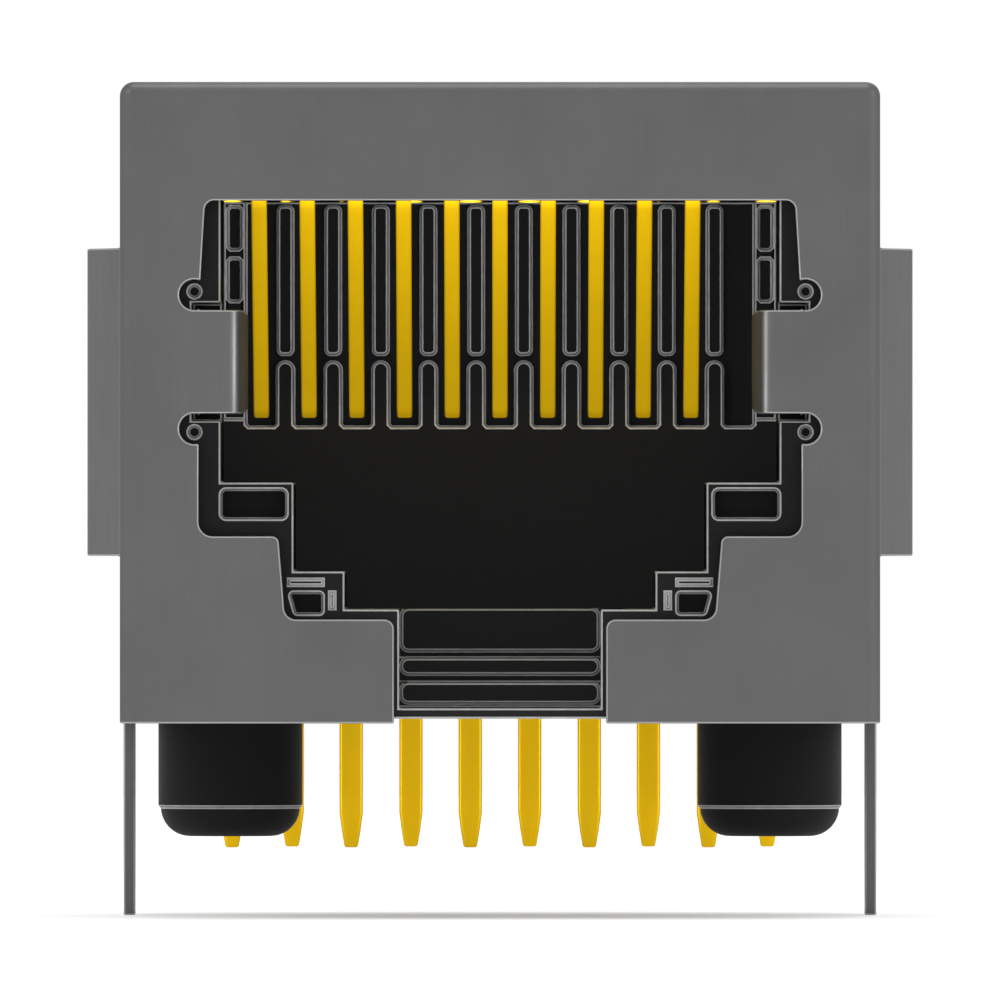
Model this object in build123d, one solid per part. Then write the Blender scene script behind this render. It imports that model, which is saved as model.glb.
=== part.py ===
from build123d import *
from math import asin, atan2, cos, hypot, radians, sin, tan
import os

# A shielded ten contact modular jack, right angle, for through holes in a circuit board.
# Millimetres. X runs across the face, Y into the jack, Z up. The origin is on the board's
# surface, midway between the two board pegs.

# Overall
face_width = 16.0
face_height = 13.5
depth = 18.0
face_to_pegs = 7.3
sheet = 0.25
fit = 0.05

# Board pegs and tails
peg_pitch = 11.43
peg_radius = 1.525
peg_length = 2.42
peg_nose = 0.62
peg_nose_step = 0.05
standoff = 0.1
standoff_pad = 1.2
tail_pitch = 1.27
tail_width = 0.5
tail_length = 2.71
tail_tip_width = 0.3
tail_taper = 0.7
rows_to_back = 1.81
row_gap = 2.54

# Contacts
contact_count = 10
slot_count = 11
contact_pitch = 1.016
contact_width = 0.33
contact_thick = 0.3
first_contact_x = -5.08
hairpin_radius = 0.55
hairpin_setback = 2.05
tip_height = 6.57
tip_into_comb = 0.45
bend_radius = 0.4
jog_radius = 0.3
groove_clearance = 0.08

# Plug cavity, seen from the front
cavity_width = 11.76
cavity_top = 11.1
comb_to_back = 6.4
shoulder_height = 5.07
shoulder_width = 8.69
floor_shelf_height = 3.2
floor_width = 6.54
floor_height = 2.4

# Latch slot, the pocket behind it and the round ended bars on the pocket's steps
latch_slot_width = 4.24
latch_floor = 0.32
latch_wall = 1.75
bar_depths = (3.4, 5.0, 6.6)
bar_bottoms = (0.42, 1.02, 1.51)
bar_tops = (0.84, 1.35)
bar_corner = 0.16
bar_reach = 0.3
bar_play = 0.03

# Core marks and thin raised bars on the moulded face, inside the shield's opening
mark_margin = 0.14
mark_corner = 0.12
ledge_mark_lift = 0.36
ledge_mark_depth = 0.6
foot_mark_wall = 0.455
foot_mark_height = 0.46
foot_mark_lift = 0.11
foot_mark_inset = 0.1
foot_mark_depth = 0.5
foot_mark_corner = 0.08
foot_mark_slant = 0.13
foot_bar_height = 0.12
foot_bar_drop = 0.29
pin_inset = 0.26
pin_width = 0.1
pin_lift = 0.12
raised_bar = 0.1
relief_mark_radius = 0.13
relief_mark_shift = 0.07
relief_mark_depth = 0.2

# Housing walls round the tongue and comb, its core pockets and its locks
front_wall = 1.2
insert_width = 12.9
insert_roof = 12.3
pocket_wall = 0.9
rear_pocket_length = 0.97
lock_bottom = 10.6
lock_top = 12.4
lock_length = 1.4
lock_to_comb = 1.0
lock_play = 0.1

# Comb wall
comb_slot_width = 0.68
slot_corner = 0.06
comb_floor = 6.25
finger_top = 7.64
finger_depth = 1.3
rib_bottom = 7.81
rib_width = 0.3
rib_setback = 0.45
rib_corner = 0.1
comb_top_gap = 0.1
wall_thick = 1.75
cheek_thick = 0.3
cheek_lift = 0.17
cheek_mark_height = 0.92
cheek_mark_gap = 0.18
cheek_mark_inset = 0.08
cheek_mark_depth = 0.4
dowel_radius = 0.2
dowel_height = 0.45
dowel_inset = 0.35

# Tongue that carries the contacts
nose_radius = 0.37
front_groove_length = 3.4
rear_groove_length = 3.35
groove_top_gap = 0.08

# Locating plate for the tails
locator_thick = 0.95
hole_clearance = 0.05

# Shield opening, from the top down
opening_top = 11.0
opening_top_width = 12.4
opening_width = 12.68
ledge_height = 3.94
ledge_width = 9.32
lower_width = 9.04
lower_ledge_height = 2.19
opening_slot_width = 4.46
opening_corners = (0.2, 0.2, 0.3, 0.15, 0.25, 0.2, 0.05)
face_bend = 0.3

# Ground springs that fold in from the opening's sides
spring_top = 8.7
spring_bottom = 6.52
spring_gap = 10.62
spring_corner = 0.17
relief_radius = 0.32
relief_x = 6.43
spring_rise = 5.0
spring_fall = 12.0
spring_reach = 2.1
spring_tail = 2.4
spring_bend = 0.25
spring_bow = 2.0
spring_room = 0.15
spring_end_room = 0.6

# Ground leaves that stand out from the sides
leaf_top = 10.01
leaf_bottom = 3.52
leaf_span = 17.44
leaf_start = 1.1
leaf_rise = 13.0
leaf_fall = 17.0
leaf_tail = 1.7
leaf_bow = 1.6
leaf_window_gap = 0.12

# Seam between the shield's top and sides, with dovetail tabs
seam_gap = 0.12
seam_start = 1.0
dovetail_places = (0.28, 0.8)
dovetail_width = 1.2
dovetail_flare = 0.15
dovetail_height = 0.6

# Shield solder tails and rear cover
shield_tail_width = 1.2
shield_tail_length = 4.12
pegs_to_shield_tail = 3.05
cover_bottom = 0.4
flange_depth = 2.2
flange_bottom = 1.2
flange_top = 12.0
snap_width = 1.6
snap_depth = 0.6
snap_heights = (3.6, 9.0)
coin_margin = 1.5
coin_corner = 0.6
coin_line = 0.3
coin_depth = 0.08

# Places that follow from the sizes above
face_y = -face_to_pegs
back_y = face_y + depth
housing_front = face_y + sheet
housing_back = back_y - sheet - fit
housing_half = face_width / 2 - sheet - fit
housing_top = face_height - sheet - fit
comb_y = back_y - comb_to_back
row_y = (back_y - rows_to_back - row_gap, back_y - rows_to_back)
strip_z = cavity_top + 2 * nose_radius + (hairpin_radius - contact_thick / 2 - nose_radius)
strip_z = strip_z + contact_thick / 2
hairpin_z = strip_z - hairpin_radius
tongue_top = cavity_top + 2 * nose_radius
groove_top = insert_roof - groove_top_gap
bay_half = insert_width / 2 + fit
bay_front = housing_front + front_wall
wall_back = comb_y + wall_thick
shelf_end = row_y[1] - contact_thick / 2 - fit
comb_top = cavity_top - fit
tip_y = comb_y + tip_into_comb
hairpin_y = housing_front + hairpin_setback
groove_end = hairpin_y + front_groove_length
fan_end = row_y[0] - rear_groove_length
foot_out = shoulder_width / 2 + foot_mark_inset
foot_in = floor_width / 2 + foot_mark_wall
foot_bottom = lower_ledge_height + foot_mark_lift

# A beam is the straight line from its tip that just touches the hairpin's round
tip_to_hairpin = hypot(tip_y - hairpin_y, hairpin_z - tip_height)
beam_angle = atan2(hairpin_z - tip_height, tip_y - hairpin_y) - asin(hairpin_radius / tip_to_hairpin)
beam_start = (
    hairpin_y - hairpin_radius * sin(beam_angle),
    hairpin_z - hairpin_radius * cos(beam_angle),
)


def contact_x(index):
    """Place across the face of one contact's beam."""
    return first_contact_x + contact_pitch * index


def tail_x(index):
    """Place across the board of one contact's tail, on the middle of the jack."""
    return tail_pitch * (index - (contact_count - 1) / 2)


def tail_y(index):
    """Row of one tail: the tails take turns between the two rows."""
    return row_y[index % 2]


def block(x0, x1, y0, y1, z0, z1):
    """Box between two corners."""
    middle = Pos((x0 + x1) / 2, (y0 + y1) / 2, (z0 + z1) / 2)
    return middle * Box(x1 - x0, y1 - y0, z1 - z0)


def along_x(outline, x0, x1):
    """Solid of an outline drawn in Y and Z, from x0 to x1."""
    plane = Plane((x0, 0, 0), x_dir=(0, 1, 0), z_dir=(1, 0, 0))
    return extrude(plane * outline, amount=x1 - x0, dir=(1, 0, 0))


def along_y(outline, y0, y1):
    """Solid of an outline drawn in X and Z, from y0 to y1."""
    plane = Plane((0, y0, 0), x_dir=(1, 0, 0), z_dir=(0, -1, 0))
    return extrude(plane * outline, amount=y1 - y0, dir=(0, 1, 0))


def along_z(outline, z0, z1):
    """Solid of an outline drawn in X and Y, from z0 to z1."""
    return extrude(Pos(0, 0, z0) * outline, amount=z1 - z0, dir=(0, 0, 1))


def window(x0, x1, z0, z1, corner):
    """Flat rectangle in X and Z with round corners."""
    return Pos((x0 + x1) / 2, (z0 + z1) / 2) * RectangleRounded(x1 - x0, z1 - z0, corner)


def clipped_window(x0, x1, z0, z1, corner):
    """Flat rectangle in X and Z with its corners cut off."""
    flat = Pos((x0 + x1) / 2, (z0 + z1) / 2) * Rectangle(x1 - x0, z1 - z0)
    return chamfer(flat.vertices(), corner)


def mirrored(solid):
    """The same solid on the other side of the jack."""
    return mirror(solid, about=Plane.YZ)


def bow_corner(crest, radius, rise, fall):
    """Corner of a bent line whose round, of the given radius, just reaches the crest."""
    reach = radius * tan(radians(rise + fall) / 2)
    return crest + reach * sin(radians(rise)) - radius * (1 - cos(radians(rise)))


# Housing

def latch_pocket():
    """Room behind the latch slot, with a floor that climbs to the cavity in steps."""
    low, middle = bar_tops
    start = housing_front + latch_wall
    edges = [housing_front + bar_depth + bar_reach for bar_depth in bar_depths]
    outline = Polyline(
        (start, latch_floor),
        (edges[0], latch_floor),
        (edges[0], low),
        (edges[1], low),
        (edges[1], middle),
        (edges[2], middle),
        (edges[2], floor_height + fit),
        (start, floor_height + fit),
        close=True,
    )
    return along_x(make_face(outline), -floor_width / 2, floor_width / 2)


def latch_bars():
    """Round ended bar on the front of each step, for the plug's latch to ride over."""
    half = latch_slot_width / 2 - bar_play
    bars = []
    for bar_depth, low, high in zip(bar_depths, bar_bottoms, (*bar_tops, floor_height)):
        y = housing_front + bar_depth
        bars.append(along_y(window(-half, half, low, high, bar_corner), y, y + bar_reach + fit))
    return bars


def plug_cavity():
    """Stepped hole for the plug, with the slot for its latch."""
    front = housing_front - sheet
    hole = block(-cavity_width / 2, cavity_width / 2, front, comb_y, shoulder_height, cavity_top)
    hole += block(
        -shoulder_width / 2, shoulder_width / 2, front, comb_y, floor_shelf_height, shoulder_height
    )
    hole += block(-floor_width / 2, floor_width / 2, front, comb_y, floor_height, floor_shelf_height)
    slot_end = housing_front + latch_wall
    half_slot = latch_slot_width / 2
    hole += block(-half_slot, half_slot, front, slot_end, latch_floor, floor_height)
    return hole + latch_pocket()


def spring_recess():
    """Room in the cavity's right wall for the ground spring's sloping end."""
    depth_in = spring_reach + spring_tail + spring_end_room
    outer = opening_width / 2 + spring_room
    return block(
        cavity_width / 2 - fit,
        outer,
        housing_front - fit,
        housing_front + depth_in,
        spring_bottom - spring_room,
        spring_top + spring_room,
    )


def face_recesses():
    """Shallow core marks on the right half of the moulded face, inside the shield's opening."""
    inner = shoulder_width / 2 + mark_margin
    outer = cavity_width / 2
    low = ledge_height + ledge_mark_lift
    mark = window(inner, outer, low, shoulder_height - mark_margin, mark_corner)
    marks = along_y(mark, housing_front, housing_front + ledge_mark_depth)
    low = foot_bottom
    high = low + foot_mark_height
    foot = FilletPolyline(
        (foot_in, low),
        (foot_out - foot_mark_slant, low),
        (foot_out, high),
        (foot_in, high),
        radius=foot_mark_corner,
        close=True,
    )
    marks += along_y(make_face(foot), housing_front, housing_front + foot_mark_depth)
    shift = relief_radius + relief_mark_shift
    for z in (spring_top + shift, spring_bottom - shift):
        dot = Pos(relief_x, z) * Circle(relief_mark_radius)
        marks += along_y(dot, housing_front, housing_front + relief_mark_depth)
    return marks


def raised_bars():
    """Two thin bars that stand out of the moulded face on the right, above and beside the foot mark."""
    front = housing_front - raised_bar
    low = floor_shelf_height - foot_bar_drop
    bars = block(foot_in, foot_out, front, housing_front, low, low + foot_bar_height)
    pin_in = floor_width / 2 + pin_inset - pin_width / 2
    low = foot_bottom + pin_lift
    high = foot_bottom + foot_mark_height
    return bars + block(pin_in, pin_in + pin_width, front, housing_front, low, high)


def board_peg():
    """Round peg on the right, with a small step where its rounded end begins."""
    nose_start = -(peg_length - peg_nose)
    nose_side = peg_radius - peg_nose_step
    flat = nose_side - peg_nose
    outline = Polyline(
        (0, standoff),
        (peg_radius, standoff),
        (peg_radius, nose_start),
        (nose_side, nose_start),
    )
    outline += ThreePointArc(
        (nose_side, nose_start),
        (flat + peg_nose * cos(radians(45)), nose_start - peg_nose * sin(radians(45))),
        (flat, -peg_length),
    )
    outline += Polyline((flat, -peg_length), (0, -peg_length), (0, standoff))
    return Pos(peg_pitch / 2, 0, 0) * revolve(Plane.XZ * make_face(outline), axis=Axis.Z)


def underside_pockets():
    """Core pockets under the right half of the cavity floor, open to the board."""
    inner = floor_width / 2 + pocket_wall
    outer = housing_half - pocket_wall
    front = housing_front + pocket_wall
    top = floor_height - pocket_wall
    rear = comb_y - pocket_wall
    pocket = block(inner, outer, front, -peg_radius - pocket_wall, -standoff, top)
    pocket += block(inner, outer, rear - rear_pocket_length, rear, -standoff, top)
    return pocket


def standoffs():
    """Low pads on the right that carry the jack on the board."""
    x0 = housing_half - standoff_pad
    front_end = housing_front + standoff_pad / 2
    pads = block(x0, housing_half, housing_front, front_end, 0, standoff)
    return pads + block(x0, housing_half, housing_back - standoff_pad, housing_back, 0, standoff)


def side_lock():
    """Wedge on the right side that locks the housing in the front shell's window."""
    y1 = comb_y - lock_to_comb
    rise = fit + sheet
    outline = Polyline(
        (housing_half, y1),
        (housing_half + rise, y1),
        (housing_half, y1 - lock_length),
        close=True,
    )
    return along_z(make_face(outline), lock_bottom, lock_top)


def make_housing():
    """Black moulded housing with the plug cavity, the latch pocket and the board pegs."""
    body = block(-housing_half, housing_half, housing_front, housing_back, standoff, housing_top)
    body -= plug_cavity()
    for bar in latch_bars():
        body += bar
    body -= block(-bay_half, bay_half, bay_front, housing_back, cavity_top, insert_roof)
    body -= block(-bay_half, bay_half, comb_y, housing_back, standoff, insert_roof)
    flange_room = block(
        housing_half - sheet - fit,
        housing_half,
        housing_back - flange_depth - fit,
        housing_back,
        flange_bottom - fit,
        flange_top + fit,
    )
    for cut in (spring_recess(), face_recesses(), underside_pockets(), flange_room):
        body -= cut
        body -= mirrored(cut)
    for addition in (board_peg(), standoffs(), side_lock(), raised_bars()):
        body += addition
        body += mirrored(addition)
    return body


# Comb wall, tongue, locating plate and contacts

def comb_slots():
    """Slots for the contact tips, with round topped fingers and set back ribs between them."""
    back = comb_y + finger_depth
    half = comb_slot_width / 2
    finger_half = (contact_pitch - comb_slot_width) / 2
    shoulder = finger_top - finger_half
    last = slot_count - 1
    left = contact_x(0) - half
    right = contact_x(last) + half
    cuts = block(left, right, comb_y, back, shoulder, cavity_top)
    for index in range(last):
        middle = contact_x(index) + contact_pitch / 2
        cuts -= along_y(Pos(middle, shoulder) * Circle(finger_half), comb_y, back)
        rib_high = comb_top - comb_top_gap
        rib = window(middle - rib_width / 2, middle + rib_width / 2, rib_bottom, rib_high, rib_corner)
        cuts -= along_y(rib, comb_y + rib_setback, back)
    for index in range(slot_count):
        x = contact_x(index)
        high = shoulder + 2 * slot_corner
        slot = clipped_window(x - half, x + half, comb_floor, high, slot_corner)
        cuts += along_y(slot, comb_y, back)
    return cuts


def cheek_marks():
    """Recess above the wall's shoulder at the right end of the comb, with two small core marks."""
    last = contact_x(slot_count - 1) + comb_slot_width / 2
    edge = cavity_width / 2
    step = block(last, edge, comb_y, comb_y + rib_setback, comb_floor + cheek_lift, cavity_top)
    x0 = last + cheek_mark_inset
    x1 = edge - cheek_mark_inset
    y0 = comb_y + rib_setback
    high = comb_top - comb_top_gap
    for z1 in (high, high - cheek_mark_height - cheek_mark_gap):
        mark = clipped_window(x0, x1, z1 - cheek_mark_height, z1, slot_corner)
        step += along_y(mark, y0, y0 + cheek_mark_depth)
    return step


def dowel(radius, height):
    """Round dowel on the right end of the comb wall, which holds the tongue in place."""
    x = insert_width / 2 - dowel_inset
    y = comb_y + wall_thick / 2
    return Pos(x, y, comb_top + height / 2) * Cylinder(radius, height)


def make_comb():
    """Black moulded wall behind the plug: the comb for the contact tips, two cheeks and two dowels."""
    half = insert_width / 2
    bottom = standoff + locator_thick + fit
    body = block(-half, half, comb_y, wall_back, bottom, comb_top)
    cheek = block(half - cheek_thick, half, wall_back, shelf_end, bottom, comb_top)
    for addition in (cheek, dowel(dowel_radius, dowel_height)):
        body += addition
        body += mirrored(addition)
    body -= comb_slots()
    # The comb has one slot more than contacts and ends alike on both sides.
    body -= cheek_marks()
    body -= mirrored(cheek_marks())
    return body


def tongue_ribs():
    """Ribs on the tongue that keep the strips apart, first at the contacts' pitch, then the tails'."""
    ribs = []
    front_half = (contact_pitch - contact_width) / 2 - groove_clearance
    rear_half = (tail_pitch - tail_width) / 2 - groove_clearance
    rear_end = row_y[1] - bend_radius
    for index in range(contact_count - 1):
        x = contact_x(index) + contact_pitch / 2
        ribs.append(block(x - front_half, x + front_half, hairpin_y, groove_end, tongue_top, groove_top))
        x = tail_x(index) + tail_pitch / 2
        ribs.append(block(x - rear_half, x + rear_half, fan_end, rear_end, tongue_top, groove_top))
    return ribs


def make_tongue():
    """Black moulded tongue over the comb: round nose for the hairpins, grooves and holes for the strips."""
    half = insert_width / 2
    tongue = block(-half, half, hairpin_y, shelf_end, cavity_top, tongue_top)
    last_edge = tongue.edges().filter_by(Axis.X).group_by(Axis.Z)[-1].sort_by(Axis.Y)[-1:]
    tongue = fillet(last_edge, bend_radius - contact_thick / 2)
    nose = Pos(0, hairpin_y, hairpin_z) * Rot(0, 90, 0) * Cylinder(nose_radius, insert_width)
    body = tongue + nose
    cheek = block(half - cheek_thick, half, hairpin_y, shelf_end, tongue_top, groove_top)
    body += cheek
    body += mirrored(cheek)
    for rib in tongue_ribs():
        body += rib
    socket = dowel(dowel_radius + fit, dowel_height + fit)
    body -= socket
    body -= mirrored(socket)
    hole_half = tail_width / 2 + groove_clearance
    y0 = row_y[0] - bend_radius - contact_thick / 2
    y1 = row_y[0] + contact_thick / 2 + fit
    for index in range(0, contact_count, 2):
        x = tail_x(index)
        body -= block(x - hole_half, x + hole_half, y0, y1, cavity_top, groove_top)
    return body


def make_locator():
    """Black moulded plate under the insert that keeps the tails at their places."""
    half = insert_width / 2
    plate = block(-half, half, comb_y + fit, housing_back - fit, standoff, standoff + locator_thick)
    for index in range(contact_count):
        x, y = tail_x(index), tail_y(index)
        half_x = tail_width / 2 + hole_clearance
        half_y = contact_thick / 2 + hole_clearance
        plate -= block(x - half_x, x + half_x, y - half_y, y + half_y, standoff, standoff + locator_thick)
    return plate


def make_contact(index):
    """One strip: sprung beam, hairpin, top run that fans out, and the tail through the board."""
    x = contact_x(index)
    end_x = tail_x(index)
    y = tail_y(index)
    side = Line((tip_y, tip_height), beam_start)
    side += ThreePointArc(
        beam_start,
        (hairpin_y - hairpin_radius, hairpin_z),
        (hairpin_y, strip_z),
    )
    side += Line((hairpin_y, strip_z), (groove_end + jog_radius, strip_z))
    spring = along_x(trace(side, contact_thick), x - contact_width / 2, x + contact_width / 2)
    jog = FilletPolyline(
        (x, groove_end - jog_radius),
        (x, groove_end + jog_radius),
        (end_x, fan_end - jog_radius),
        (end_x, fan_end + jog_radius),
        radius=jog_radius,
    )
    spring += along_z(trace(jog, contact_width), strip_z - contact_thick / 2, strip_z + contact_thick / 2)
    leg = FilletPolyline((fan_end, strip_z), (y, strip_z), (y, -tail_length), radius=bend_radius)
    tail = along_x(trace(leg, contact_thick), end_x - tail_width / 2, end_x + tail_width / 2)
    half = tail_width / 2
    half_tip = tail_tip_width / 2
    shape = Polyline(
        (end_x - half, strip_z + contact_thick),
        (end_x + half, strip_z + contact_thick),
        (end_x + half, -tail_length + tail_taper),
        (end_x + half_tip, -tail_length),
        (end_x - half_tip, -tail_length),
        (end_x - half, -tail_length + tail_taper),
        close=True,
    )
    tail &= along_y(make_face(shape), groove_end, back_y)
    return spring + tail


# Shield

def opening_outline():
    """Outline of the hole in the shield's face, round cornered, open at the bottom for the latch."""
    right = [
        (opening_top_width / 2, opening_top),
        (opening_width / 2, spring_top),
        (opening_width / 2, ledge_height),
        (ledge_width / 2, ledge_height),
        (lower_width / 2, lower_ledge_height),
        (opening_slot_width / 2, lower_ledge_height),
        (opening_slot_width / 2, -face_bend),
    ]
    left = [(-x, z) for x, z in reversed(right)]
    radii = [*opening_corners, *reversed(opening_corners)]
    return make_face(FilletPolyline(*right, *left, radius=radii, close=True))


def folded_shell():
    """Face, top and sides of the front shell as one bent sheet, open behind and below."""
    half = face_width / 2
    outer = block(-half, half, face_y, back_y, 0, face_height)
    bends = outer.edges().filter_by(Axis.Y).group_by(Axis.Z)[-1]
    bends += outer.edges().filter_by(Axis.X).group_by(Axis.Z)[-1].sort_by(Axis.Y)[:1]
    bends += outer.edges().filter_by(Axis.Z).group_by(Axis.Y)[0]
    outer = fillet(bends, face_bend)
    inner = block(-half + sheet, half - sheet, face_y + sheet, back_y, 0, face_height - sheet)
    bends = inner.edges().filter_by(Axis.Y).group_by(Axis.Z)[-1]
    bends += inner.edges().filter_by(Axis.X).group_by(Axis.Z)[-1].sort_by(Axis.Y)[:1]
    bends += inner.edges().filter_by(Axis.Z).group_by(Axis.Y)[0]
    return outer - fillet(bends, face_bend - sheet)


def ground_spring():
    """Spring on the right that folds in from the opening's edge and bows towards the plug."""
    crest = spring_gap / 2 + sheet / 2
    mid_y = face_y + sheet / 2
    corner_x = 2 * crest - bow_corner(crest, spring_bow, spring_rise, spring_fall)
    corner_y = mid_y + spring_reach
    start_x = corner_x + spring_reach * tan(radians(spring_rise))
    end_x = corner_x + spring_tail * sin(radians(spring_fall))
    end_y = corner_y + spring_tail * cos(radians(spring_fall))
    line = FilletPolyline(
        (opening_width / 2 + sheet, mid_y),
        (start_x, mid_y),
        (corner_x, corner_y),
        (end_x, end_y),
        radius=[spring_bend, spring_bow],
    )
    strip = along_z(trace(line, sheet), spring_bottom, spring_top)
    outer = opening_width / 2 + sheet
    seen = window(spring_gap / 2, outer + 1, spring_bottom, spring_top, spring_corner)
    return strip & along_y(seen, face_y, back_y)


def ground_leaf():
    """Leaf on the right that bows out of the side wall to meet the panel."""
    wall_x = face_width / 2 - sheet / 2
    crest = leaf_span / 2 - sheet / 2
    corner_x = bow_corner(crest, leaf_bow, leaf_rise, leaf_fall)
    start_y = face_y + leaf_start
    corner_y = start_y + (corner_x - wall_x) / tan(radians(leaf_rise))
    end_x = corner_x - leaf_tail * sin(radians(leaf_fall))
    end_y = corner_y + leaf_tail * cos(radians(leaf_fall))
    line = FilletPolyline(
        (wall_x, start_y - leaf_start / 2),
        (wall_x, start_y),
        (corner_x, corner_y),
        (end_x, end_y),
        radius=[leaf_bow, leaf_bow],
    )
    return along_z(trace(line, sheet), leaf_bottom, leaf_top), end_y


def shield_tail():
    """Solder tail on the right, straight down from the side wall."""
    half = shield_tail_width / 2
    y = pegs_to_shield_tail
    tip = half / 2
    outline = Polyline(
        (y - half, standoff),
        (y + half, standoff),
        (y + half, -shield_tail_length + half),
        (y + tip, -shield_tail_length),
        (y - tip, -shield_tail_length),
        (y - half, -shield_tail_length + half),
        close=True,
    )
    return along_x(make_face(outline), face_width / 2 - sheet, face_width / 2)


def seam():
    """Narrow gap on the right between the top and the side, bent round the top's dovetail tabs."""
    z = face_height - face_bend - seam_gap / 2
    points = [(face_y + seam_start, z)]
    for share in dovetail_places:
        y = face_y + depth * share
        neck = dovetail_width / 2
        foot = neck + dovetail_flare
        points += [
            (y - neck, z),
            (y - foot, z - dovetail_height),
            (y + foot, z - dovetail_height),
            (y + neck, z),
        ]
    points.append((back_y + sheet, z))
    return along_x(trace(Polyline(*points), seam_gap), housing_half, face_width / 2 + sheet)


def side_windows(leaf_end):
    """Holes in the right side: round the leaf, for the housing's lock and for the cover's snaps."""
    inner = face_width / 2 - 2 * sheet
    outer = face_width / 2 + sheet
    windows = [
        block(
            inner,
            outer,
            face_y + leaf_start,
            leaf_end + leaf_window_gap,
            leaf_bottom - leaf_window_gap,
            leaf_top + leaf_window_gap,
        ),
        block(
            inner,
            outer,
            comb_y - lock_to_comb - lock_length - 2 * lock_play,
            comb_y - lock_to_comb + lock_play,
            lock_bottom - lock_play,
            lock_top + lock_play,
        ),
    ]
    y = housing_back - flange_depth / 2
    half_depth = snap_depth / 2 + fit
    half_width = snap_width / 2 + fit
    for z in snap_heights:
        windows.append(block(inner, outer, y - half_depth, y + half_depth, z - half_width, z + half_width))
    return windows


def make_shield_front():
    """Front shell: one sheet with its face, top, sides, springs, leaves and solder tails."""
    shell = folded_shell()
    shell -= along_y(opening_outline(), face_y, face_y + 2 * sheet)
    leaf, leaf_end = ground_leaf()
    cuts = [seam(), *side_windows(leaf_end)]
    for z in (spring_top + relief_radius, spring_bottom - relief_radius):
        relief = Pos(relief_x, z) * Circle(relief_radius)
        cuts.append(along_y(relief, face_y, face_y + 2 * sheet))
    for cut in cuts:
        shell -= cut
        shell -= mirrored(cut)
    for addition in (ground_spring(), leaf, shield_tail()):
        shell += addition
        shell += mirrored(addition)
    return shell


def cover_snap(z):
    """Small wedge on the right flange that locks the cover in the front shell's side."""
    x = housing_half
    y = housing_back - flange_depth / 2
    outline = Polyline(
        (x, y - snap_depth / 2),
        (x, y + snap_depth / 2),
        (x + sheet, y + snap_depth / 2),
        close=True,
    )
    return along_z(make_face(outline), z - snap_width / 2, z + snap_width / 2)


def make_shield_rear():
    """Rear cover: a coined plate across the back with two side flanges that snap into the front shell."""
    half = housing_half
    cover = block(-half, half, back_y - sheet, back_y, cover_bottom, housing_top)
    line_out = half - coin_margin
    line_in = line_out - coin_line
    low = cover_bottom + coin_margin
    high = housing_top - coin_margin
    ring = window(-line_out, line_out, low, high, coin_corner)
    ring -= window(-line_in, line_in, low + coin_line, high - coin_line, coin_corner - coin_line)
    cover -= along_y(ring, back_y - coin_depth, back_y)
    flange_front = housing_back - flange_depth
    flange = block(half - sheet, half, flange_front, back_y, flange_bottom, flange_top)
    for addition in (flange, *[cover_snap(z) for z in snap_heights]):
        cover += addition
        cover += mirrored(addition)
    return cover


os.makedirs("parts", exist_ok=True)
export_step(make_shield_front(), "parts/shield_front.step")
export_step(make_shield_rear(), "parts/shield_rear.step")
export_step(make_housing(), "parts/housing.step")
export_step(make_comb(), "parts/comb_wall.step")
export_step(make_tongue(), "parts/contact_tongue.step")
export_step(make_locator(), "parts/tail_locator.step")
for number in range(contact_count):
    export_step(make_contact(number), f"parts/contact_{number + 1:02d}.step")
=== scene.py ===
import math

import bmesh
import bpy
import numpy as np
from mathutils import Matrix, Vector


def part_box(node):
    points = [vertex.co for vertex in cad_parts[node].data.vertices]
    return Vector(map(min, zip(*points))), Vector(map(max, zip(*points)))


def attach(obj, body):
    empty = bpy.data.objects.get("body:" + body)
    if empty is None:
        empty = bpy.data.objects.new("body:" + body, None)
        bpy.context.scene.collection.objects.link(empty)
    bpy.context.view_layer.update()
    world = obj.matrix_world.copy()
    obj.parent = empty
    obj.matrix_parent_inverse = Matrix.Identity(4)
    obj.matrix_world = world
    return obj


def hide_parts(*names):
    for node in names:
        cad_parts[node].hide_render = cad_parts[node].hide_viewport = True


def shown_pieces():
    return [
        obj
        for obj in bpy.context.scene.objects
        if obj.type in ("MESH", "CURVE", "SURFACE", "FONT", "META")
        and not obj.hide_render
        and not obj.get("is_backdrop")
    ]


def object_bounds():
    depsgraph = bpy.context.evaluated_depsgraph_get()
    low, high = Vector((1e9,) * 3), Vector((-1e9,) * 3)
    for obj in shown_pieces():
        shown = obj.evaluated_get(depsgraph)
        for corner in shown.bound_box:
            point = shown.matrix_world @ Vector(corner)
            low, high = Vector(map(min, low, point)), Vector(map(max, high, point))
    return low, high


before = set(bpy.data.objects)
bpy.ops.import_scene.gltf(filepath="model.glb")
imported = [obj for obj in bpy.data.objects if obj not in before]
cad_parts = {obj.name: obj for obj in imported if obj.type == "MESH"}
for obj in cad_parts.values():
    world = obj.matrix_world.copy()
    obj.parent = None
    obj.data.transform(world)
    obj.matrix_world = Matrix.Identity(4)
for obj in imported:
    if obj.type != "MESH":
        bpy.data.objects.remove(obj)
cad_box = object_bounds()

bl_info = {
    "name": "Shielded Modular Jack",
    "version": (1, 0, 0),
    "blender": (4, 5, 0),
    "location": "View3D > Sidebar > Jack",
    "description": "Dresses a right angle board jack: plated shield, black mouldings and ten gilt strips",
    "category": "Object",
}

MM = 0.001
BODY = "root"
CAVITY_MIDDLE = 6.8 * MM
CONTACTS = sorted(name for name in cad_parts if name[:8] == "contact_" and name[8:].isdigit())

# Points along each stretch of a strip's line, at each rounded end and round each corner of its section
BEAM_POINTS = 24
HAIRPIN_POINTS = 26
FAN_POINTS = 28
BEND_POINTS = 14
DROP_POINTS = 40
END_POINTS = 4
CORNER_POINTS = 4


# Sizes and colours that a user would change

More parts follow.
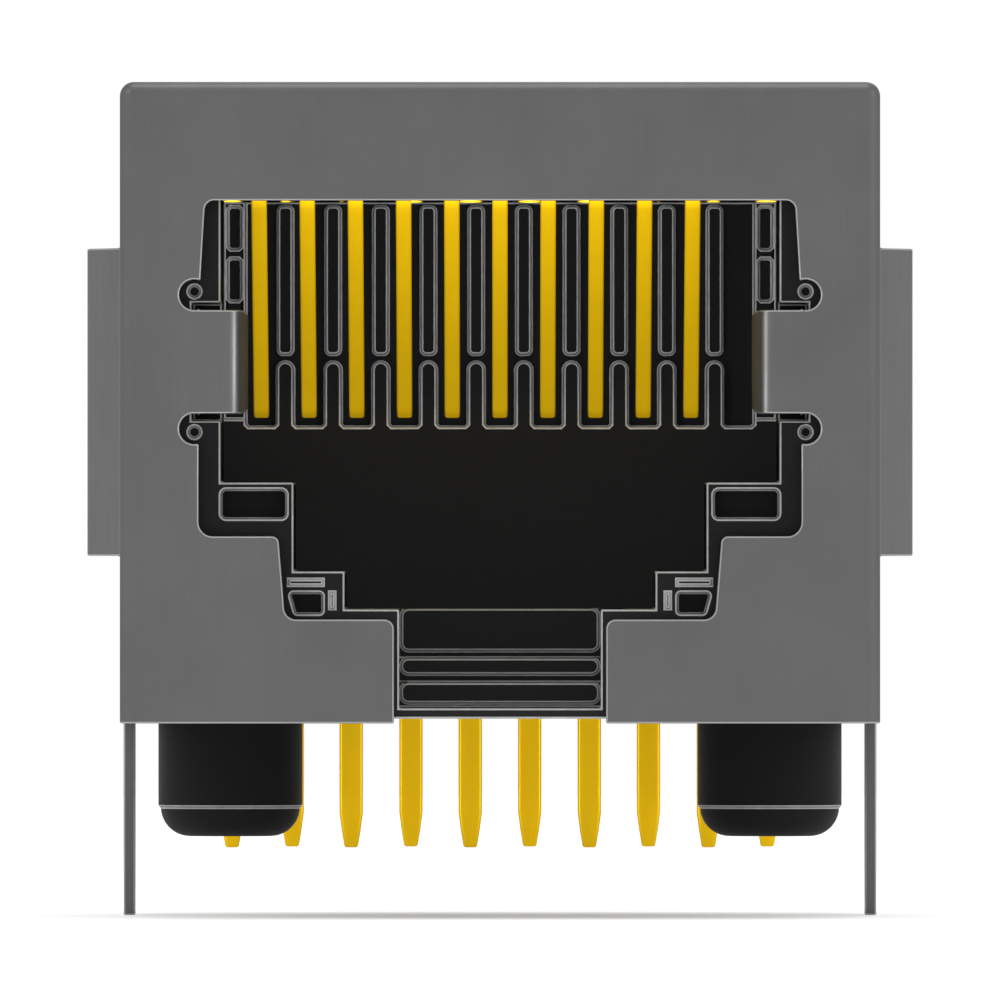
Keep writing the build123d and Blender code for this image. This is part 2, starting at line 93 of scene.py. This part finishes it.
class JackStripSizes(bpy.types.PropertyGroup):
    """Sizes of the ten formed strips, in metres."""

    pitch: bpy.props.FloatProperty(
        name="Contact pitch", description="Spacing of the sprung beams across the face",
        default=1.016 * MM, unit="LENGTH", precision=6)
    first_x: bpy.props.FloatProperty(
        name="First beam", description="Place across the face of the leftmost beam",
        default=-5.08 * MM, unit="LENGTH", precision=6)
    tail_pitch: bpy.props.FloatProperty(
        name="Tail pitch", description="Spacing of the tails across the board",
        default=1.27 * MM, unit="LENGTH", precision=6)
    width: bpy.props.FloatProperty(
        name="Beam width", description="Width of a strip where it is sprung",
        default=0.33 * MM, unit="LENGTH", precision=6)
    tail_width: bpy.props.FloatProperty(
        name="Tail width", description="Width of a strip where it goes through the board",
        default=0.5 * MM, unit="LENGTH", precision=6)
    tip_width: bpy.props.FloatProperty(
        name="Tail tip width", description="Width at the very end of a tail",
        default=0.3 * MM, unit="LENGTH", precision=6)
    thick: bpy.props.FloatProperty(
        name="Thickness", description="Thickness of the strip", default=0.3 * MM,
        unit="LENGTH", precision=6)
    edge: bpy.props.FloatProperty(
        name="Edge radius", description="Radius that stamping and plating leave on the strip's edges",
        default=0.055 * MM, unit="LENGTH", precision=6)
    hairpin: bpy.props.FloatProperty(
        name="Hairpin radius", description="Radius of the turn at the front of the tongue",
        default=0.55 * MM, unit="LENGTH", precision=6)
    tip_height: bpy.props.FloatProperty(
        name="Tip height", description="Height of the beams' tips above the board",
        default=6.57 * MM, unit="LENGTH", precision=6)
    tip_depth: bpy.props.FloatProperty(
        name="Tip depth", description="How far the beams' tips reach into the comb",
        default=0.45 * MM, unit="LENGTH", precision=6)
    bend: bpy.props.FloatProperty(
        name="Tail bend radius", description="Radius where the strip turns down to the board",
        default=0.4 * MM, unit="LENGTH", precision=6)
    straight: bpy.props.FloatProperty(
        name="Front groove", description="Length of the straight run behind the hairpin",
        default=3.4 * MM, unit="LENGTH", precision=6)
    fan: bpy.props.FloatProperty(
        name="Fan length", description="Length over which the strips spread to the tail pitch",
        default=4.6 * MM, unit="LENGTH", precision=6)
    taper: bpy.props.FloatProperty(
        name="Tail taper", description="Length over which a tail narrows to its tip",
        default=0.7 * MM, unit="LENGTH", precision=6)


class JackFinishes(bpy.types.PropertyGroup):
    """Colours and edge sizes of the three materials."""

    shield: bpy.props.FloatVectorProperty(
        name="Shield", description="Plated sheet", subtype="COLOR", size=3,
        default=(0.125, 0.125, 0.125), min=0, max=1)
    moulding: bpy.props.FloatVectorProperty(
        name="Moulding", description="Black thermoplastic", subtype="COLOR", size=3,
        default=(0.0085, 0.0085, 0.0085), min=0, max=1)
    # Pale colour on the mouldings' rounded edges is a painted highlight.
    moulding_highlight: bpy.props.FloatVectorProperty(
        name="Moulded edge", description="Plastic where an edge is burnished", subtype="COLOR", size=3,
        default=(0.34, 0.34, 0.34), min=0, max=1)
    # Pale colour on the sheet's rounded edges is a painted highlight.
    sheet_highlight: bpy.props.FloatVectorProperty(
        name="Cut edge", description="Sheet where an edge is worn bright", subtype="COLOR", size=3,
        default=(0.36, 0.36, 0.36), min=0, max=1)
    gilt: bpy.props.FloatVectorProperty(
        name="Gilt", description="Plating of the strips", subtype="COLOR", size=3,
        default=(0.658, 0.402, 0.004), min=0, max=1)
    sheet_edge: bpy.props.FloatProperty(
        name="Sheet edge", description="Rounding of the sheet's cut edges", default=0.035 * MM,
        unit="LENGTH", precision=6)
    mould_edge: bpy.props.FloatProperty(
        name="Mould edge", description="Rounding of the mouldings' edges", default=0.04 * MM,
        unit="LENGTH", precision=6)
    comb_edge: bpy.props.FloatProperty(
        name="Comb edge", description="Rounding of the comb's edges", default=0.04 * MM,
        unit="LENGTH", precision=6)
    # Painted highlight on the comb's edges: their pale colour is this many times the others'.
    comb_highlight_gain: bpy.props.FloatProperty(
        name="Comb wear", description="How many times paler the comb's edges are than the others",
        default=1.8, min=0)


class JackStage(bpy.types.PropertyGroup):
    """View, floor and light."""

    seen_width: bpy.props.FloatProperty(
        name="Seen width", description="Width of the picture at the jack's face",
        default=21.036 * MM, unit="LENGTH", precision=6)
    seen_height: bpy.props.FloatProperty(
        name="Seen height", description="Height of the picture's middle above the board",
        default=4.702 * MM, unit="LENGTH", precision=6)
    lens: bpy.props.FloatProperty(
        name="Lens", description="Focal length; long, because the drawing has no perspective",
        default=1650.0, min=50.0)
    floor: bpy.props.FloatVectorProperty(
        name="Floor", description="Pale floor", subtype="COLOR", size=3,
        default=(0.9, 0.9, 0.9), min=0, max=1)
    floor_glow: bpy.props.FloatProperty(
        name="Floor glow", description="Light of the floor itself, as of a lit table", default=0.3, min=0)
    sky: bpy.props.FloatProperty(
        name="Sky", description="Strength of the even light from all round", default=0.9, min=0)


# Shader building

class Shade:
    """One output socket of a material or a world. Operators on it add Math nodes."""

    def __init__(self, tree, socket):
        self.tree = tree
        self.socket = socket

    def combined(self, operation, first, second):
        """Math node with the two values, each a Shade or a number."""
        made = self.tree.nodes.new("ShaderNodeMath")
        made.operation = operation
        for place, value in zip(made.inputs, (first, second)):
            if isinstance(value, Shade):
                self.tree.links.new(value.socket, place)
            else:
                place.default_value = value
        return Shade(self.tree, made.outputs[0])

    def __add__(self, other):
        return self.combined("ADD", self, other)

    def __radd__(self, other):
        return self.combined("ADD", other, self)

    def __mul__(self, other):
        return self.combined("MULTIPLY", self, other)

    def __rmul__(self, other):
        return self.combined("MULTIPLY", other, self)

    def larger(self, other):
        """The larger of the two values."""
        return self.combined("MAXIMUM", self, other)


class Shader:
    """The nodes of a material or a world while it is built."""

    def __init__(self, owner):
        owner.use_nodes = True
        self.tree = owner.node_tree
        self.tree.nodes.clear()

    def node(self, kind, settings=None, inputs=None, output=0):
        """Adds a node: first its settings, then its sockets' values or links."""
        made = self.tree.nodes.new(kind)
        for name, value in (settings or {}).items():
            setattr(made, name, value)
        for name, value in (inputs or {}).items():
            if isinstance(value, Shade):
                self.tree.links.new(value.socket, made.inputs[name])
            else:
                made.inputs[name].default_value = value
        return Shade(self.tree, made.outputs[output]) if made.outputs else None


class Finish(Shader):
    """A material while it is built."""

    def __init__(self, name):
        self.material = bpy.data.materials.new(name)
        super().__init__(self.material)

    def place(self, scale=(1.0, 1.0, 1.0)):
        """Object coordinates, stretched by the scale along each axis."""
        point = self.node("ShaderNodeTexCoord", output="Object")
        return self.node("ShaderNodeMapping", {}, {"Vector": point, "Scale": scale})

    def noise(self, place, scale, detail=2.0, rough=0.5):
        """Cloudy values between 0 and 1 about a middle of 0.5."""
        inputs = {"Vector": place, "Scale": scale, "Detail": detail, "Roughness": rough}
        return self.node("ShaderNodeTexNoise", {}, inputs)

    def tint(self, factor, low, high):
        """Colour between low and high. A Mix node's sockets 6 and 7 are its two colours, and its output 2
        is the mixed colour."""
        settings = {"data_type": "RGBA", "clamp_factor": True}
        inputs = {0: factor, 6: (*low, 1.0), 7: (*high, 1.0)}
        return self.node("ShaderNodeMix", settings, inputs, output=2)

    def relief(self, height, distance):
        """Normal of a bumped surface."""
        return self.node("ShaderNodeBump", {}, {"Height": height, "Distance": distance, "Strength": 1.0})

    def surface(self, inputs):
        """Principled shader on the material's output."""
        shader = self.node("ShaderNodeBsdfPrincipled", {}, inputs)
        self.node("ShaderNodeOutputMaterial", {}, {"Surface": shader})
        return self.material


def scaled(colour, factor):
    """A colour made lighter or darker."""
    return tuple(min(1.0, channel * factor) for channel in colour)


def plated_sheet(name, colour):
    """Plated steel strip: rolling grain up and down, cloudy plating, and handling marks."""
    made = Finish(name)
    grain = made.noise(made.place((1.0, 1.0, 0.02)), scale=26000.0, detail=3.0)
    cloud = made.noise(made.place(), scale=420.0, detail=3.0, rough=0.6)
    marks = made.noise(made.place((1.0, 1.0, 0.35)), scale=2600.0, detail=4.0, rough=0.65)
    blend = cloud * 0.7 + grain * 0.3
    base = made.tint(blend, scaled(colour, 0.8), scaled(colour, 1.19))
    rough = 0.30 + grain * 0.08 + marks * 0.10
    normal = made.relief(grain * 0.7 + marks * 0.3, 0.0035 * MM)
    inputs = {"Base Color": base, "Metallic": 0.75, "Roughness": rough, "Normal": normal}
    gloss = {"Specular IOR Level": 0.1, "Specular Tint": (0.5, 0.5, 0.5, 1.0)}
    return made.surface({**inputs, **gloss})


def black_moulding(name, colour):
    """Glass filled thermoplastic from a spark eroded mould: fine matt grain and faint flow clouds."""
    made = Finish(name)
    spark = made.noise(made.place(), scale=15000.0, detail=3.0, rough=0.6)
    flow = made.noise(made.place((0.4, 1.0, 1.0)), scale=500.0, detail=3.0, rough=0.55)
    base = made.tint(flow * 0.6 + spark * 0.4, scaled(colour, 0.75), scaled(colour, 1.3))
    rough = 0.50 + spark * 0.14 + flow * 0.08
    normal = made.relief(spark, 0.004 * MM)
    inputs = {"Base Color": base, "Roughness": rough, "Normal": normal, "Specular IOR Level": 0.1}
    return made.surface(inputs)


def painted_highlight_edge(name, colour):
    """The same plastic along an edge, smoother where the mould's radius and handling leave it so, in a
    pale colour that is a painted highlight.
    """
    made = Finish(name)
    edge_mottle = made.noise(made.place(), scale=3200.0, detail=3.0, rough=0.6)
    # The pale edge colour is a painted highlight, mottled by the noise.
    base = made.tint(edge_mottle, scaled(colour, 0.6), scaled(colour, 1.2))
    rough = 0.35 + edge_mottle * 0.12
    return made.surface({"Base Color": base, "Roughness": rough, "Specular IOR Level": 0.4})


def gilt_plating(name, colour):
    """Gold plating on stamped strip: draw lines along the strip and softly varied depth of colour."""
    made = Finish(name)
    along = made.node("ShaderNodeUVMap", {"uv_map": "strip"})
    lines_place = made.node("ShaderNodeMapping", {}, {"Vector": along, "Scale": (0.03, 1.0, 1.0)})
    lines = made.noise(lines_place, scale=30000.0)
    cloud = made.noise(made.place(), scale=900.0)
    base = made.tint(cloud * 0.75 + lines * 0.25, scaled(colour, 0.93), scaled(colour, 1.06))
    rough = 0.28 + lines * 0.10 + cloud * 0.05
    normal = made.relief(lines, 0.0015 * MM)
    inputs = {"Base Color": base, "Metallic": 0.25, "Roughness": rough, "Normal": normal}
    return made.surface({**inputs, "Specular IOR Level": 0.05})


# Mesh building

def finish_piece(piece, node):
    """Puts a piece in the scene, riding on the one body and standing for its CAD node."""
    bpy.context.scene.collection.objects.link(piece)
    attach(piece, BODY)
    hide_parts(node)


def shade_smooth(mesh):
    """Smooth shading on every face."""
    mesh.polygons.foreach_set("use_smooth", [True] * len(mesh.polygons))


def merged_copy(node, name):
    """The CAD node's surface with its doubles merged and its flat triangles paired."""
    work = bmesh.new()
    work.from_mesh(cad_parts[node].data)
    weld = 0.0005 * MM
    flat = math.radians(0.5)
    any_shape = math.radians(180)
    bmesh.ops.remove_doubles(work, verts=work.verts, dist=weld)
    bmesh.ops.join_triangles(
        work, faces=work.faces, angle_face_threshold=flat, angle_shape_threshold=any_shape)
    work.verts.index_update()
    points = [tuple(vertex.co) for vertex in work.verts]
    faces = [[vertex.index for vertex in face.verts] for face in work.faces]
    work.free()
    mesh = bpy.data.meshes.new(name)
    mesh.from_pydata(points, [], faces)
    return bpy.data.objects.new(name, mesh)


def round_edges(piece, width, flat_finish, highlight_finish):
    """Rounds every edge sharper than 30 degrees, with the edge's finish, a painted highlight, on the
    round.
    """
    piece.data.materials.append(flat_finish)
    piece.data.materials.append(highlight_finish)
    bevel = piece.modifiers.new("edges", "BEVEL")
    bevel.limit_method = "ANGLE"
    bevel.angle_limit = math.radians(30)
    bevel.width = width
    bevel.segments = 2
    bevel.use_clamp_overlap = False
    bevel.loop_slide = False
    bevel.harden_normals = True
    bevel.material = 1
    shade_smooth(piece.data)


def rounded_profile():
    """Outline of a rounded rectangle as (side, round) pairs: a point is side * (half size less the
    edge radius) plus round * the edge radius."""
    angles = np.linspace(0.0, math.pi / 2, CORNER_POINTS)
    sides = []
    rounds = []
    for quarter, (sx, sy) in enumerate([(1, 1), (-1, 1), (-1, -1), (1, -1)]):
        turned = angles + quarter * math.pi / 2
        sides.append(np.tile([sx, sy], (CORNER_POINTS, 1)))
        rounds.append(np.stack([np.cos(turned), np.sin(turned)], axis=1))
    return np.concatenate(sides), np.concatenate(rounds)


def swept_strip(name, line, widths, thicks, edge):
    """A rounded rectangle carried along a line. At each point the tangent t is the line's slope, the
    face normal n is t turned a quarter in the YZ plane, and the width runs along t x n. A surface
    point is line + side_w * w + side_n * n, where the sides follow the rounded rectangle."""
    tangent = np.gradient(line, axis=0)
    tangent /= np.linalg.norm(tangent, axis=1, keepdims=True)
    normal = np.stack([np.zeros(len(line)), -tangent[:, 2], tangent[:, 1]], axis=1)
    normal /= np.linalg.norm(normal, axis=1, keepdims=True)
    across = np.cross(tangent, normal)
    side, turn = rounded_profile()
    largest_share = 0.49
    radius = np.minimum(edge, np.minimum(widths, thicks) * largest_share)
    half_w = (widths / 2 - radius)[:, None]
    half_t = (thicks / 2 - radius)[:, None]
    reach_w = half_w * side[None, :, 0] + radius[:, None] * turn[None, :, 0]
    reach_n = half_t * side[None, :, 1] + radius[:, None] * turn[None, :, 1]
    points = (
        line[:, None, :]
        + reach_w[:, :, None] * across[:, None, :]
        + reach_n[:, :, None] * normal[:, None, :]
    )
    rings, around = points.shape[:2]
    index = np.arange(rings * around).reshape(rings, around)
    here, ahead = index[:-1], index[1:]
    quads = np.stack(
        [here, np.roll(here, -1, axis=1), np.roll(ahead, -1, axis=1), ahead], axis=-1
    ).reshape(-1, 4)
    ends = [index[0, ::-1].tolist(), index[-1].tolist()]
    mesh = bpy.data.meshes.new(name)
    mesh.from_pydata(points.reshape(-1, 3).tolist(), [], quads.tolist() + ends)
    shade_smooth(mesh)
    strip_uv(mesh, points)
    return mesh


def strip_uv(mesh, points):
    """UV map in metres: u runs along the strip and v round its section."""
    rings, around = points.shape[:2]
    steps = np.linalg.norm(np.diff(points.mean(axis=1), axis=0), axis=1)
    along = np.concatenate([[0.0], np.cumsum(steps)])
    ring_steps = np.linalg.norm(np.diff(points[rings // 2], axis=0), axis=1)
    about = np.concatenate([[0.0], np.cumsum(ring_steps)])
    values = np.stack(np.meshgrid(along, about, indexing="ij"), axis=-1).reshape(-1, 2)
    layer = mesh.uv_layers.new(name="strip")
    vertex = np.zeros(len(mesh.loops), dtype=np.int32)
    mesh.loops.foreach_get("vertex_index", vertex)
    layer.data.foreach_set("uv", values[vertex].astype(np.float32).ravel())


def contact_line(sizes, index, tip, run_height, hairpin_y, row_y, tail_end):
    """Centre line of one strip from the beam's tip to the tail's end: a straight slope, an arc over
    the tongue's nose, a straight run, an S curve x = x0 + (x1 - x0) * (3 s^2 - 2 s^3) out to the
    tail's place, a quarter arc and a straight drop."""
    x0 = sizes.first_x + sizes.pitch * index
    x1 = sizes.tail_pitch * (index - (len(CONTACTS) - 1) / 2)
    centre_z = run_height - sizes.hairpin
    back, up = tip[0] - hairpin_y, centre_z - tip[1]
    slope = math.atan2(up, back) - math.asin(sizes.hairpin / math.hypot(back, up))
    turn = np.linspace(-math.pi / 2 - slope, -1.5 * math.pi, HAIRPIN_POINTS)
    arc_y = hairpin_y + sizes.hairpin * np.cos(turn)
    arc_z = centre_z + sizes.hairpin * np.sin(turn)
    beam = np.linspace(0.0, 1.0, BEAM_POINTS)[:-1]
    beam_y = tip[0] + (arc_y[0] - tip[0]) * beam
    beam_z = tip[1] + (arc_z[0] - tip[1]) * beam
    spread = np.linspace(0.0, 1.0, FAN_POINTS)
    fan_start = hairpin_y + sizes.straight
    fan_y = fan_start + sizes.fan * spread
    fan_x = x0 + (x1 - x0) * (3 * spread**2 - 2 * spread**3)
    bend = np.linspace(0.0, math.pi / 2, BEND_POINTS)
    bend_y = row_y - sizes.bend + sizes.bend * np.sin(bend)
    bend_z = run_height - sizes.bend + sizes.bend * np.cos(bend)
    drop_z = np.linspace(bend_z[-1], tail_end, DROP_POINTS)[1:]
    y = np.concatenate([beam_y, arc_y, fan_y, bend_y, np.full(len(drop_z), row_y)])
    z = np.concatenate([beam_z, arc_z, np.full(len(fan_y), run_height), bend_z, drop_z])
    x = np.concatenate([
        np.full(len(beam_y) + len(arc_y), x0),
        fan_x,
        np.full(len(bend_y) + len(drop_z), x1),
    ])
    return np.stack([x, y, z], axis=1)


def eased(values):
    """Smooth step from 0 to 1, flat outside that range."""
    limited = np.clip(values, 0.0, 1.0)
    return limited**2 * (3 - 2 * limited)


def strip_widths(sizes, line):
    """Width and thickness along a strip: it widens through the fan by 3 s^2 - 2 s^3, and narrows and
    thins evenly over the tail's taper."""
    steps = np.linalg.norm(np.diff(line, axis=0), axis=1)
    along = np.concatenate([[0.0], np.cumsum(steps)])
    total = along[-1]
    fan_start = line[:, 1].min() + sizes.hairpin + sizes.straight
    fan_share = (line[:, 1] - fan_start) / sizes.fan
    past_turn = along > along[np.argmin(line[:, 1])]
    wide = np.where(past_turn, eased(fan_share), 0.0)
    widths = sizes.width + (sizes.tail_width - sizes.width) * wide
    tail_share = np.clip((along - (total - sizes.taper)) / sizes.taper, 0.0, 1.0)
    widths = widths + (sizes.tip_width - sizes.tail_width) * tail_share
    tip_thinning = 0.35
    thicks = np.full(len(line), sizes.thick) * (1 - tip_thinning * tail_share)
    return widths, thicks


def rounded_ends(line, widths, thicks, radius):
    """Adds rings at both ends that follow a quarter round: at a depth d from the end the section
    shrinks by radius - sqrt(radius^2 - (radius - d)^2) on every side."""
    turn = np.linspace(0.0, math.pi / 2, END_POINTS)[:-1]
    depth = radius * (1 - np.cos(turn))
    shrink = radius * (1 - np.sin(turn))
    ends = []
    for end, inward in ((0, 1), (-1, -2)):
        direction = line[inward] - line[end]
        direction /= np.linalg.norm(direction)
        rings = line[end] + direction * depth[:, None]
        ends.append((rings, widths[end] - 2 * shrink, thicks[end] - 2 * shrink))
    first, last = ends
    body = line.copy()
    body[0] = line[0] + (first[0][-1] - line[0]) * (radius / depth[-1])
    body[-1] = line[-1] + (last[0][-1] - line[-1]) * (radius / depth[-1])
    new_line = np.concatenate([first[0], body, last[0][::-1]])
    new_widths = np.concatenate([first[1], widths, last[1][::-1]])
    new_thicks = np.concatenate([first[2], thicks, last[2][::-1]])
    return new_line, new_widths, new_thicks


# Operators

class JACK_OT_shield(bpy.types.Operator):
    """Dress the front shell and the rear cover as plated sheet with soft cut edges, the edges in a paler
    colour that is a painted highlight
    """

    bl_idname = "jack.shield"
    bl_label = "Shield"

    def execute(self, context):
        looks = context.scene.jack_finishes
        flat = plated_sheet("plated_sheet", tuple(looks.shield))
        # The edges' paler sheet colour is a painted highlight.
        cut = plated_sheet("sheet_highlight", tuple(looks.sheet_highlight))
        for node in ("shield_front", "shield_rear"):
            piece = merged_copy(node, node + "_sheet")
            round_edges(piece, looks.sheet_edge, flat, cut)
            finish_piece(piece, node)
        return {"FINISHED"}


class JACK_OT_mouldings(bpy.types.Operator):
    """Dress the housing, comb, tongue and locating plate as black mouldings with soft edges, the edges in
    a pale colour that is a painted highlight
    """

    bl_idname = "jack.mouldings"
    bl_label = "Mouldings"

    def execute(self, context):
        looks = context.scene.jack_finishes
        matt = black_moulding("black_moulding", tuple(looks.moulding))
        # Pale edge colours are a painted highlight, stronger on the comb.
        edge = painted_highlight_edge("moulding_highlight", tuple(looks.moulding_highlight))
        comb_edge = painted_highlight_edge("comb_edge", scaled(looks.moulding_highlight, looks.comb_highlight_gain))
        for node in ("housing", "comb_wall", "contact_tongue", "tail_locator"):
            piece = merged_copy(node, node + "_moulding")
            if node == "comb_wall":
                round_edges(piece, looks.comb_edge, matt, comb_edge)
            else:
                round_edges(piece, looks.mould_edge, matt, edge)
            finish_piece(piece, node)
        return {"FINISHED"}


class JACK_OT_strips(bpy.types.Operator):
    """Form the ten gilt strips, each one sweep from its sprung tip to its tail"""

    bl_idname = "jack.strips"
    bl_label = "Contact strips"

    def execute(self, context):
        sizes = context.scene.jack_strips
        looks = context.scene.jack_finishes
        gilt = gilt_plating("gilt_plating", tuple(looks.gilt))
        for index, node in enumerate(CONTACTS):
            low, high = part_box(node)
            run_height = high.z - sizes.thick / 2
            row_y = high.y - sizes.thick / 2
            hairpin_y = low.y + sizes.hairpin + sizes.thick / 2
            tip = (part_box("comb_wall")[0].y + sizes.tip_depth, sizes.tip_height)
            line = contact_line(sizes, index, tip, run_height, hairpin_y, row_y, low.z)
            widths, thicks = strip_widths(sizes, line)
            line, widths, thicks = rounded_ends(line, widths, thicks, sizes.edge)
            mesh = swept_strip(node + "_strip", line, widths, thicks, sizes.edge)
            mesh.materials.append(gilt)
            piece = bpy.data.objects.new(node + "_strip", mesh)
            piece.modifiers.new("flat_faces", "WEIGHTED_NORMAL")
            finish_piece(piece, node)
        return {"FINISHED"}


class JACK_OT_stage(bpy.types.Operator):
    """Set the pale floor, the soft light and the straight front view"""

    bl_idname = "jack.stage"
    bl_label = "Stage"

    def execute(self, context):
        sizes = context.scene.jack_stage
        low, high = cad_box
        build_floor(sizes, low.z)
        build_sky(sizes)
        build_soft_lamps(low.y)
        build_spot_lamps(low.y)
        build_camera(sizes, low.y)
        context.scene.view_settings.view_transform = "Standard"
        return {"FINISHED"}


def build_floor(sizes, height):
    """Wide flat floor just under the longest tails. It glows a little, so that it is as white as the
    background where no shadow falls."""
    made = Finish("pale_floor")
    speckle = made.noise(made.place(), scale=90.0, detail=3.0)
    base = made.tint(speckle, scaled(sizes.floor, 0.99), scaled(sizes.floor, 1.01))
    finish = made.surface({
        "Base Color": base,
        "Roughness": 0.9,
        "Specular IOR Level": 0.1,
        "Emission Color": (1.0, 1.0, 1.0, 1.0),
        "Emission Strength": sizes.floor_glow,
    })
    reach = 0.4
    mesh = bpy.data.meshes.new("floor")
    corners = [(x * reach, y * reach, height) for x, y in ((-1, -1), (1, -1), (1, 1), (-1, 1))]
    mesh.from_pydata(corners, [], [(0, 1, 2, 3)])
    mesh.materials.append(finish)
    floor = bpy.data.objects.new("floor", mesh)
    bpy.context.scene.collection.objects.link(floor)
    floor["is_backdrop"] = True


def build_sky(sizes):
    """Even light from all round. The camera and mirror reflections see it as plain white."""
    world = bpy.data.worlds.new("sky")
    made = Shader(world)
    straight, mirrored, passed = [
        made.node("ShaderNodeLightPath", output=name)
        for name in ("Is Camera Ray", "Is Glossy Ray", "Is Transmission Ray")
    ]
    plain = straight.larger(mirrored).larger(passed)
    strength = sizes.sky + plain * (1.0 - sizes.sky)
    glow = made.node("ShaderNodeBackground", {}, {"Color": (1.0, 1.0, 1.0, 1.0), "Strength": strength})
    made.node("ShaderNodeOutputWorld", {}, {"Surface": glow})
    bpy.context.scene.world = world


def build_soft_lamps(face_y):
    """Soft lamps round the jack."""
    middle = np.array([0.0, face_y, CAVITY_MIDDLE])
    # Name, offset and width in millimetres, and power
    for name, offset, width, power in (
        ("key", (-100, -55, 80), 60, 0.016),
        ("fill", (105, -50, 45), 60, 0.01),
        ("top", (0, 10, 120), 80, 0.03),
        ("rear", (20, 120, 90), 80, 0.03),
    ):
        data = bpy.data.lights.new(name, "AREA")
        data.shape = "DISK"
        data.size = width * MM
        data.energy = power
        place_lamp(data, middle, offset)


def build_spot_lamps(face_y):
    """Small lamps for the sprung beams, the tails, the comb, the latch bars and the bends of the two
    ground springs. Each lights only its own pieces, and only they shade each other in it, so the
    plated face stays free of glare."""
    pieces = {piece.name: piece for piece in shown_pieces()}
    strips = [pieces[node + "_strip"] for node in CONTACTS]
    comb = [pieces["comb_wall_moulding"]]
    housing = [pieces["housing_moulding"]]
    shield = [pieces["shield_front_sheet"]]
    middle = np.array([0.0, face_y, CAVITY_MIDDLE])
    beams = middle + np.array([0.0, 9.0, 2.1]) * MM
    tails = np.array([0.0, 7.6, -1.2]) * MM
    latch = np.array([0.0, face_y, 1.2 * MM])
    left_spring = np.array([-5.4 * MM, face_y, 7.6 * MM])
    right_spring = np.array([5.4 * MM, face_y, 7.6 * MM])
    # Name, target, offset in millimetres, cone in degrees, radius in millimetres, power and pieces lit
    for name, target, offset, cone, radius, power, lit in (
        ("beam_light", beams, (0, -170, -11), 5, 1.5, 2.5, strips),
        ("left_tail_light", tails, (-65, -78, -1), 9, 1.5, 0.16, strips),
        ("right_tail_light", tails, (65, -78, -1), 9, 1.5, 0.16, strips),
        ("comb_light", middle, (0, -60, 0), 26, 10, 0.06, comb),
        ("latch_light", latch, (0, -60, 0), 7, 1.5, 0.043, housing),
        ("left_spring_light", left_spring, (45, -9, 0), 4.5, 1, 0.022, shield),
        ("right_spring_light", right_spring, (-45, -9, 0), 4.5, 1, 0.022, shield),
    ):
        data = bpy.data.lights.new(name, "SPOT")
        data.energy = power
        data.shadow_soft_size = radius * MM
        data.spot_size = math.radians(cone)
        data.spot_blend = 0.3
        lamp = place_lamp(data, target, offset)
        group = bpy.data.collections.new(name)
        for piece in lit:
            group.objects.link(piece)
        lamp.light_linking.receiver_collection = group
        lamp.light_linking.blocker_collection = group


def place_lamp(data, middle, offset):
    """Lamp at an offset in millimetres from a point, aimed at that point."""
    lamp = bpy.data.objects.new(data.name, data)
    lamp.location = middle + np.array(offset) * MM
    lamp.rotation_euler = aim(-np.array(offset, dtype=float))
    bpy.context.scene.collection.objects.link(lamp)
    return lamp


def aim(direction):
    """Euler angles that turn a lamp to shine along a direction."""
    x, y, z = direction / np.linalg.norm(direction)
    return (math.acos(max(-1.0, min(1.0, -z))), 0.0, math.atan2(-x, y))


def build_camera(sizes, face_y):
    """Straight front view from the distance at which the picture is seen_width wide on the face."""
    data = bpy.data.cameras.new("front")
    data.lens = sizes.lens
    data.sensor_width = 36.0
    distance = sizes.seen_width * data.lens / data.sensor_width
    data.clip_start = distance * 0.2
    data.clip_end = distance * 3
    camera = bpy.data.objects.new("front", data)
    camera.location = (0.0, face_y - distance, sizes.seen_height)
    camera.rotation_euler = (math.pi / 2, 0.0, 0.0)
    bpy.context.scene.collection.objects.link(camera)
    bpy.context.scene.camera = camera


class JACK_PT_sidebar(bpy.types.Panel):
    """Sidebar panel with every step"""

    bl_idname = "JACK_PT_sidebar"
    bl_label = "Modular Jack"
    bl_space_type = "VIEW_3D"
    bl_region_type = "UI"
    bl_category = "Jack"

    def draw(self, context):
        scene = context.scene
        for settings in (scene.jack_strips, scene.jack_finishes, scene.jack_stage):
            box = self.layout.box()
            for name in settings.__annotations__:
                box.prop(settings, name)
        for operator in (JACK_OT_shield, JACK_OT_mouldings, JACK_OT_strips, JACK_OT_stage):
            self.layout.operator(operator.bl_idname)


CLASSES = (
    JackStripSizes,
    JackFinishes,
    JackStage,
    JACK_OT_shield,
    JACK_OT_mouldings,
    JACK_OT_strips,
    JACK_OT_stage,
    JACK_PT_sidebar,
)


def register():
    """Registers the classes and hangs the settings on the scene."""
    for kind in CLASSES:
        bpy.utils.register_class(kind)
    bpy.types.Scene.jack_strips = bpy.props.PointerProperty(type=JackStripSizes)
    bpy.types.Scene.jack_finishes = bpy.props.PointerProperty(type=JackFinishes)
    bpy.types.Scene.jack_stage = bpy.props.PointerProperty(type=JackStage)


def unregister():
    """Takes the settings and classes away again."""
    del bpy.types.Scene.jack_strips
    del bpy.types.Scene.jack_finishes
    del bpy.types.Scene.jack_stage
    for kind in reversed(CLASSES):
        bpy.utils.unregister_class(kind)


def main():
    register()
    bpy.ops.jack.shield()
    bpy.ops.jack.mouldings()
    bpy.ops.jack.strips()
    bpy.ops.jack.stage()


if __name__ == "__main__":
    main()
